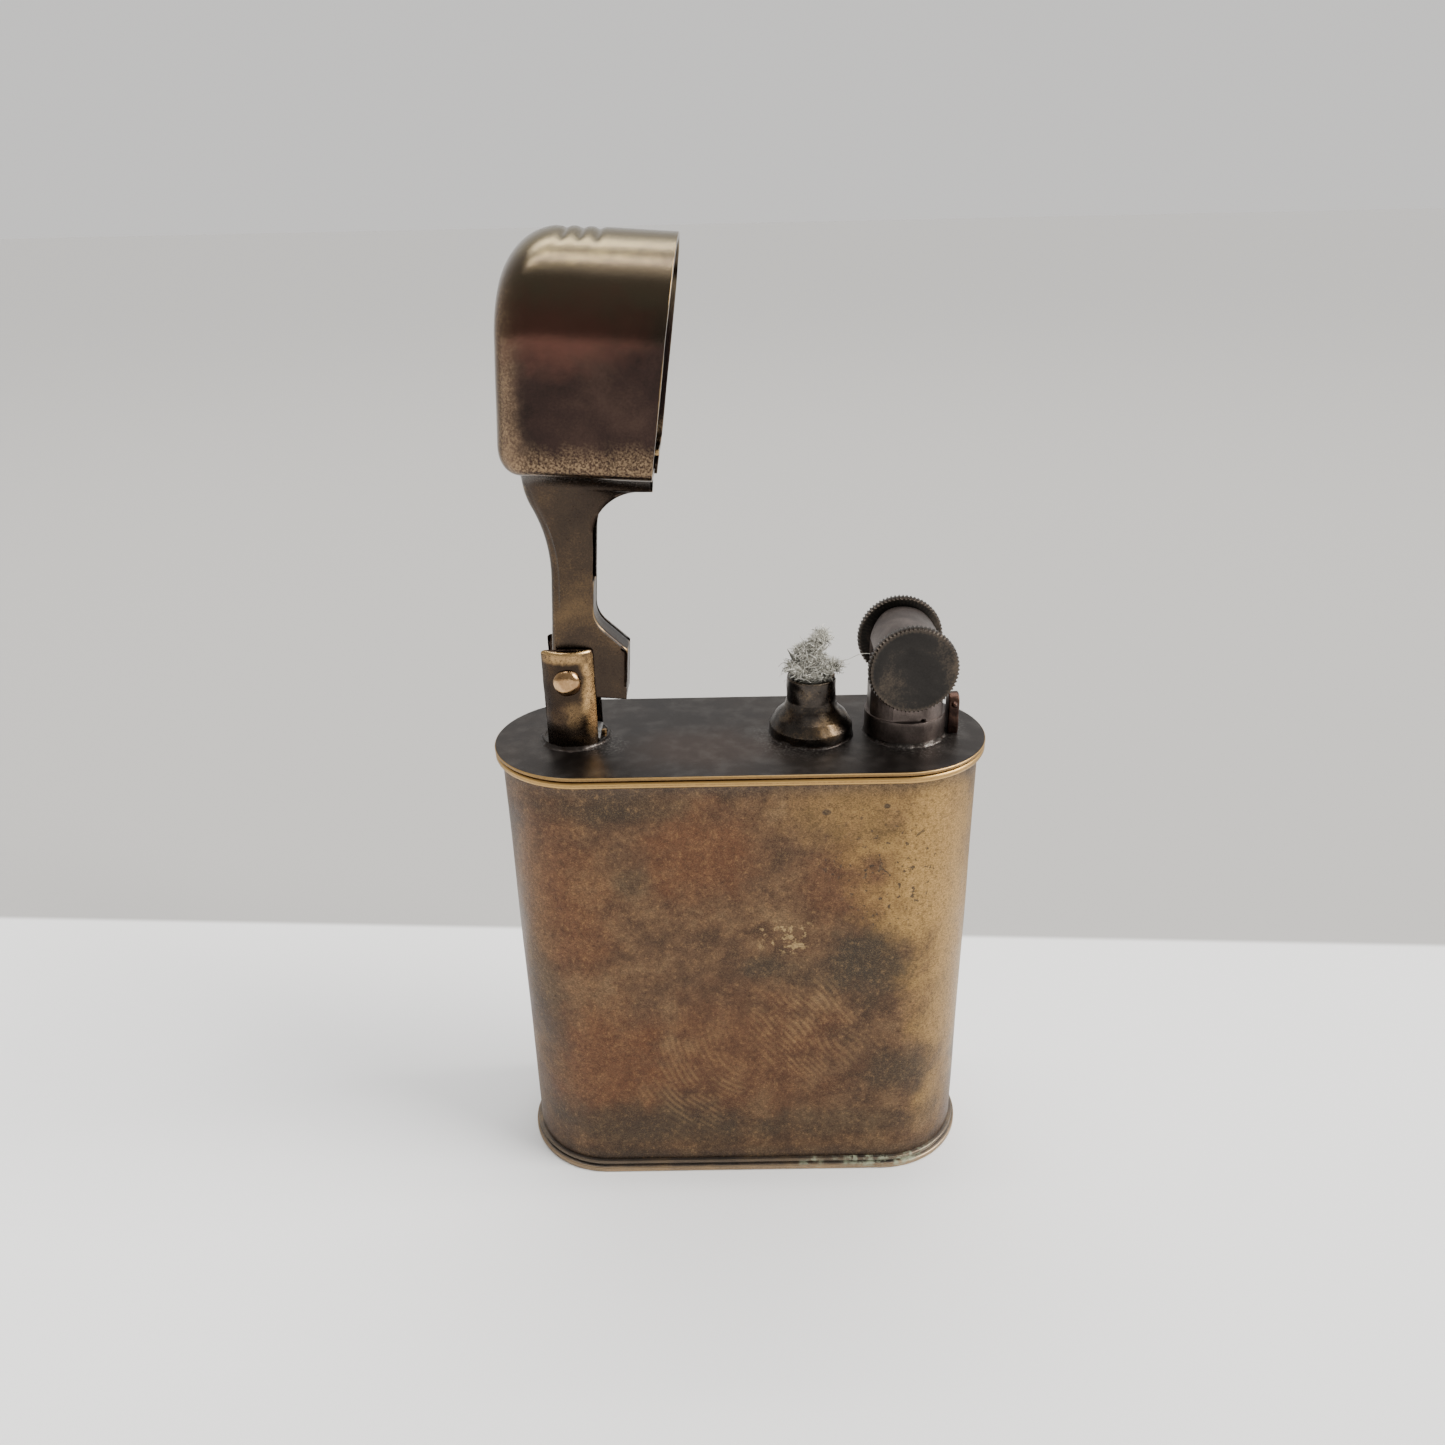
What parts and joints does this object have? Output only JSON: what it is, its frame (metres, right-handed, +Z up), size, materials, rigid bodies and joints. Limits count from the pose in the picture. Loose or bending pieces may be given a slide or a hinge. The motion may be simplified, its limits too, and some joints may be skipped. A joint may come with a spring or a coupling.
{
  "type": "lift-arm petrol lighter",
  "caption": "Flat oval pocket lighter with a swinging arm whose cap closes over the wick and striker wheel, and a screw-plugged fuel tank.",
  "frame": {"origin": "centre of the base plate's underside", "axes": "+Z up out of the tank, +X from the hinge towards the striker wheel, -Y the front"},
  "size_m": [0.04, 0.0154, 0.0786],
  "materials": {
    "shell_brass": "aged, satin, patinated",
    "plate_brass": "dark, aged",
    "arm_brass": "worn, satin",
    "cap_brass": "dark patina, bright edges",
    "post_brass": "worn, polished edges",
    "pin_brass": "polished by wear",
    "dark_brass": "dark, sooty",
    "disc_brass": "dark, aged, knurled",
    "screw_brass": "worn",
    "steel": "dull",
    "flint": "matt",
    "cotton": "frayed cotton",
    "fibre": "matt"
  },
  "bodies": {
    "tank": {"tank_shell": "shell_brass", "top_plate": "plate_brass", "base_plate": "plate_brass", "hinge_post": "post_brass", "hinge_pin": "pin_brass", "snap_spring": "steel", "spring_rivet": "screw_brass", "wick_holder": "dark_brass", "wick": "cotton", "wick_tuft": "cotton", "cotton_wadding": "cotton", "wheel_housing": "dark_brass", "flint_tube": "screw_brass", "retaining_leaf": "dark_brass", "leaf_rivet": "dark_brass", "flint": "flint", "filler_boss": "screw_brass"},
    "arm": {"lift_arm": "arm_brass", "arm_heel": "arm_brass", "snuffer_cap": "cap_brass"},
    "wheel": {"file_wheel": "steel", "thumb_disc_front": "disc_brass", "thumb_disc_rear": "disc_brass", "wheel_axle": "steel"},
    "filler_plug": {"filler_screw": "screw_brass", "filler_gasket": "fibre"},
    "flint_plug": {"flint_screw": "screw_brass", "flint_spring": "steel", "flint_follower": "screw_brass"}
  },
  "joints": [
    {"name": "arm_lift", "type": "hinge", "parent": "tank", "child": "arm", "pos_m": [-0.01335, 0, 0.04605], "axis": [0, 1, 0], "range_deg": [0, 82]},
    {"name": "wheel_spin", "type": "hinge", "parent": "tank", "child": "wheel", "pos_m": [0.01335, 0, 0.04705], "axis": [0, 1, 0], "continuous": true},
    {"name": "filler_screw_out", "type": "slide", "parent": "tank", "child": "filler_plug", "axis": [0, 0, -1], "range_m": [0, 0.012]},
    {"name": "flint_screw_out", "type": "slide", "parent": "tank", "child": "flint_plug", "axis": [0, 0, -1], "range_m": [0, 0.045]}
  ]
}
